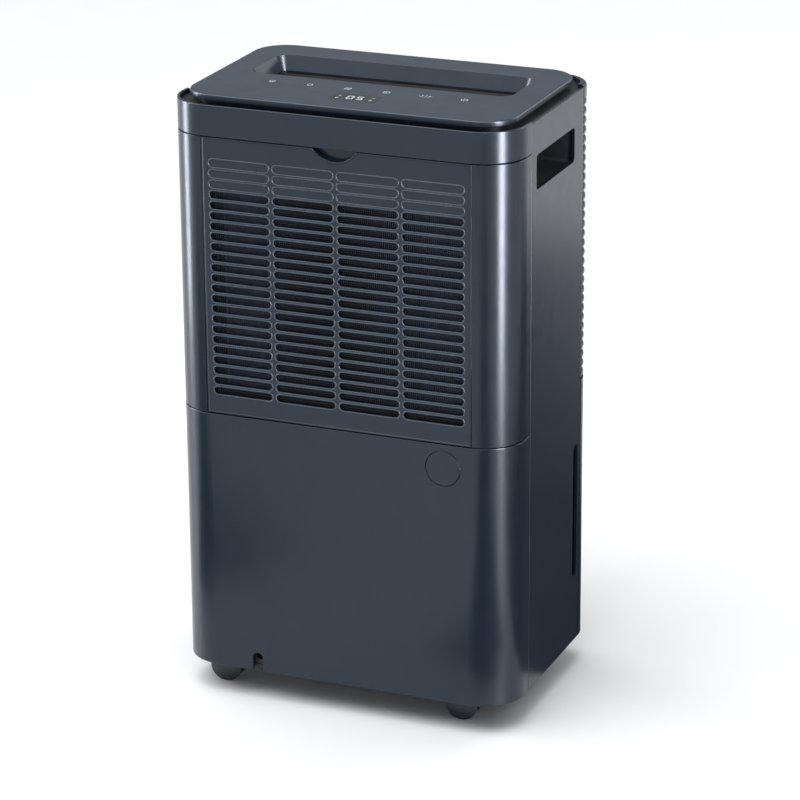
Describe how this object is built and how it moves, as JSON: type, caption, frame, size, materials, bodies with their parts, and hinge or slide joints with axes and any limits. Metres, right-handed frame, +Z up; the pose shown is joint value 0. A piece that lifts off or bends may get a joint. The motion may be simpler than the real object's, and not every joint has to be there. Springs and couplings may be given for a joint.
{
  "type": "dehumidifier",
  "caption": "Portable compressor dehumidifier: rounded upright cabinet on casters, slotted rear filter panel, ribbed front, touch control top with air outlet and slide-out water tank.",
  "frame": {"origin": "centre of the bounding box on the floor plane, under the casters", "axes": "+Z up, -Y towards the user's side with the water tank, +Y out of the air inlet and filter, X across the width"},
  "size_m": [0.3, 0.2, 0.5205],
  "materials": {
    "shell": "satin, fine moulded grain",
    "plate": "satin",
    "inner_plastic": "moulded black",
    "tank_plastic": "moulded, smoke grey",
    "float_foam": "foamed",
    "mesh": "fine woven nylon net",
    "lens": "polished black",
    "board": "solder mask",
    "fins": "stamped fins",
    "copper": "drawn copper tube",
    "black_enamel": "black enamel",
    "zinc_steel": "zinc plated",
    "can": "drawn can",
    "rubber": "matt",
    "caster_plastic": "moulded nylon"
  },
  "bodies": {
    "cabinet": {"rear_lower_cover": "shell", "rear_mid_frame": "shell", "rear_top_band": "shell", "side_panel_left": "shell", "side_panel_right": "shell", "handle_cup_left": "inner_plastic", "handle_cup_right": "inner_plastic", "front_panel": "shell", "top_deck": "inner_plastic", "control_panel": "plate", "outlet_grille": "inner_plastic", "display_lens": "lens", "control_board": "board", "display_module": "board", "base_tray": "inner_plastic", "base_screws": "zinc_steel", "chassis_frame": "inner_plastic", "drip_tray": "inner_plastic", "drain_spigot": "inner_plastic", "evaporator_coil": "fins", "condenser_coil": "fins", "fan_scroll": "inner_plastic", "fan_motor": "zinc_steel", "compressor": "black_enamel", "compressor_grommets": "rubber", "discharge_pipe": "copper", "suction_pipe": "copper", "electronics_box": "inner_plastic", "run_capacitor": "can", "cord_gland": "inner_plastic", "tank_sensor": "inner_plastic", "humidity_sensor": "inner_plastic"},
    "tank": {"tank_bin": "tank_plastic", "tank_front": "shell", "tank_lid": "tank_plastic"},
    "bail": {"tank_bail": "tank_plastic"},
    "float": {"tank_float": "float_foam"},
    "filter": {"filter_panel": "shell", "filter_mesh": "mesh"},
    "drain_cover": {"drain_cover": "shell"},
    "impeller": {"fan_impeller": "inner_plastic", "fan_shaft": "zinc_steel"},
    "caster_1": {"caster_yoke_1": "caster_plastic"},
    "wheels_1": {"caster_wheels_1": "caster_plastic"},
    "caster_2": {"caster_yoke_2": "caster_plastic"},
    "wheels_2": {"caster_wheels_2": "caster_plastic"},
    "caster_3": {"caster_yoke_3": "caster_plastic"},
    "wheels_3": {"caster_wheels_3": "caster_plastic"},
    "caster_4": {"caster_yoke_4": "caster_plastic"},
    "wheels_4": {"caster_wheels_4": "caster_plastic"}
  },
  "joints": [
    {"name": "tank_slide", "type": "slide", "parent": "cabinet", "child": "tank", "axis": [0, -1, 0], "range_m": [0, 0.2]},
    {"name": "bail_hinge", "type": "hinge", "parent": "tank", "child": "bail", "pos_m": [0, -0.054, 0.2455], "axis": [-1, 0, 0], "range_deg": [0, 90]},
    {"name": "float_hinge", "type": "hinge", "parent": "tank", "child": "float", "pos_m": [-0.092, -0.026, 0.22], "axis": [-1, 0, 0], "range_deg": [0, 32]},
    {"name": "filter_tilt", "type": "hinge", "parent": "cabinet", "child": "filter", "pos_m": [0, 0.0993, 0.254], "axis": [-1, 0, 0], "range_deg": [0, 35]},
    {"name": "drain_cover_pull", "type": "slide", "parent": "cabinet", "child": "drain_cover", "axis": [0, 1, 0], "range_m": [0, 0.08]},
    {"name": "impeller_spin", "type": "hinge", "parent": "cabinet", "child": "impeller", "pos_m": [0, -0.024, 0.398], "axis": [0, 1, 0], "continuous": true},
    {"name": "caster_swivel_1", "type": "hinge", "parent": "cabinet", "child": "caster_1", "pos_m": [-0.108, -0.066, 0.044], "axis": [0, 0, 1], "continuous": true},
    {"name": "wheel_spin_1", "type": "hinge", "parent": "caster_1", "child": "wheels_1", "pos_m": [-0.098, -0.066, 0.014], "axis": [0, 1, 0], "continuous": true},
    {"name": "caster_swivel_2", "type": "hinge", "parent": "cabinet", "child": "caster_2", "pos_m": [0.108, -0.066, 0.044], "axis": [0, 0, 1], "continuous": true},
    {"name": "wheel_spin_2", "type": "hinge", "parent": "caster_2", "child": "wheels_2", "pos_m": [0.118, -0.066, 0.014], "axis": [0, 1, 0], "continuous": true},
    {"name": "caster_swivel_3", "type": "hinge", "parent": "cabinet", "child": "caster_3", "pos_m": [-0.108, 0.066, 0.044], "axis": [0, 0, 1], "continuous": true},
    {"name": "wheel_spin_3", "type": "hinge", "parent": "caster_3", "child": "wheels_3", "pos_m": [-0.098, 0.066, 0.014], "axis": [0, 1, 0], "continuous": true},
    {"name": "caster_swivel_4", "type": "hinge", "parent": "cabinet", "child": "caster_4", "pos_m": [0.108, 0.066, 0.044], "axis": [0, 0, 1], "continuous": true},
    {"name": "wheel_spin_4", "type": "hinge", "parent": "caster_4", "child": "wheels_4", "pos_m": [0.118, 0.066, 0.014], "axis": [0, 1, 0], "continuous": true}
  ]
}
